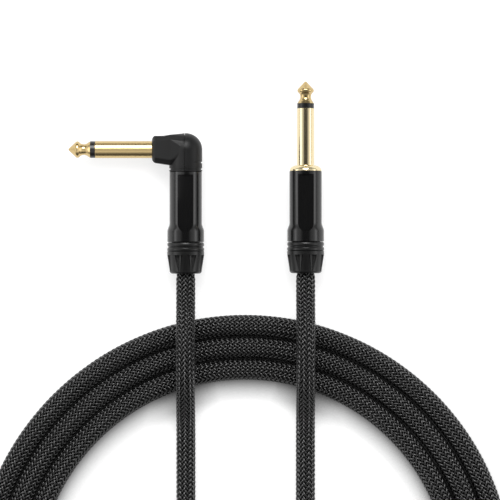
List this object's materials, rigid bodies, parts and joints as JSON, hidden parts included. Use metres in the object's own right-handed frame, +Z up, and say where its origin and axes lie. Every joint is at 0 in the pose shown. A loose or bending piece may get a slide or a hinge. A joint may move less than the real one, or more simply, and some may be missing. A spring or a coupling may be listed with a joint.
{
  "type": "instrument_cable",
  "caption": "Braided black instrument cable lying in a flat coil, with a gold straight phone plug at one end and a right-angle phone plug at the other.",
  "frame": {"origin": "bottom centre of the box around the two plugs, on the surface that the cable lies on", "axes": "+Z up from the surface, +Y the way the straight plug points, -X the way the right-angle plug's finger points"},
  "size_m": [0.2003, 0.2895, 0.0159],
  "materials": {
    "gold_plate": "gold-plated, polished",
    "black_plastic": "black moulded plastic",
    "natural_nylon": "natural nylon",
    "black_shell": "satin black coated metal",
    "boot_rubber": "satin black moulded rubber over plastic",
    "black_braid": "tight braided black textile",
    "cord_jacket": "soft black jacket",
    "copper": "bare stranded copper",
    "core_insulation": "pale polyethylene"
  },
  "bodies": {
    "cable": {"straight_tip": "gold_plate", "straight_tip_insulator": "black_plastic", "straight_sleeve": "gold_plate", "straight_rear_insulator": "natural_nylon", "straight_tip_tag": "gold_plate", "straight_ground_tag": "gold_plate", "straight_shell": "black_shell", "straight_cord_braid": "black_braid", "straight_cord_jacket": "cord_jacket", "straight_cord_screen": "copper", "straight_cord_core": "core_insulation", "straight_cord_conductor": "copper", "angle_tip": "gold_plate", "angle_tip_insulator": "black_plastic", "angle_sleeve": "gold_plate", "angle_rear_insulator": "natural_nylon", "angle_tip_tag": "gold_plate", "angle_ground_tag": "gold_plate", "angle_head": "black_shell", "angle_rear_cap": "black_shell", "angle_shell": "black_shell", "angle_cord_braid": "black_braid", "angle_cord_jacket": "cord_jacket", "angle_cord_screen": "copper", "angle_cord_core": "core_insulation", "angle_cord_conductor": "copper", "cord_angle_run": "black_braid", "cord_coil": "black_braid", "cord_straight_run": "black_braid"},
    "straight_chuck": {"straight_chuck": "natural_nylon"},
    "straight_boot": {"straight_boot": "boot_rubber"},
    "angle_chuck": {"angle_chuck": "natural_nylon"},
    "angle_boot": {"angle_boot": "boot_rubber"}
  },
  "joints": [
    {"name": "straight_chuck_slide", "type": "slide", "parent": "cable", "child": "straight_chuck", "axis": [0, -1, 0], "range_m": [0, 0.003]},
    {"name": "straight_boot_turn", "type": "hinge", "parent": "straight_chuck", "child": "straight_boot", "pos_m": [0.0405, -0.03, 0.00685], "axis": [0, -1, 0], "range_deg": [0, 1080]},
    {"name": "angle_chuck_slide", "type": "slide", "parent": "cable", "child": "angle_chuck", "axis": [0, -1, 0], "range_m": [0, 0.003]},
    {"name": "angle_boot_turn", "type": "hinge", "parent": "angle_chuck", "child": "angle_boot", "pos_m": [-0.0039, -0.03, 0.00685], "axis": [0, -1, 0], "range_deg": [0, 1080]}
  ],
  "couplings": [
    {"joint": "straight_boot_turn", "follows": "straight_chuck_slide", "rad_per_m": 6283.2},
    {"joint": "angle_boot_turn", "follows": "angle_chuck_slide", "rad_per_m": 6283.2}
  ]
}
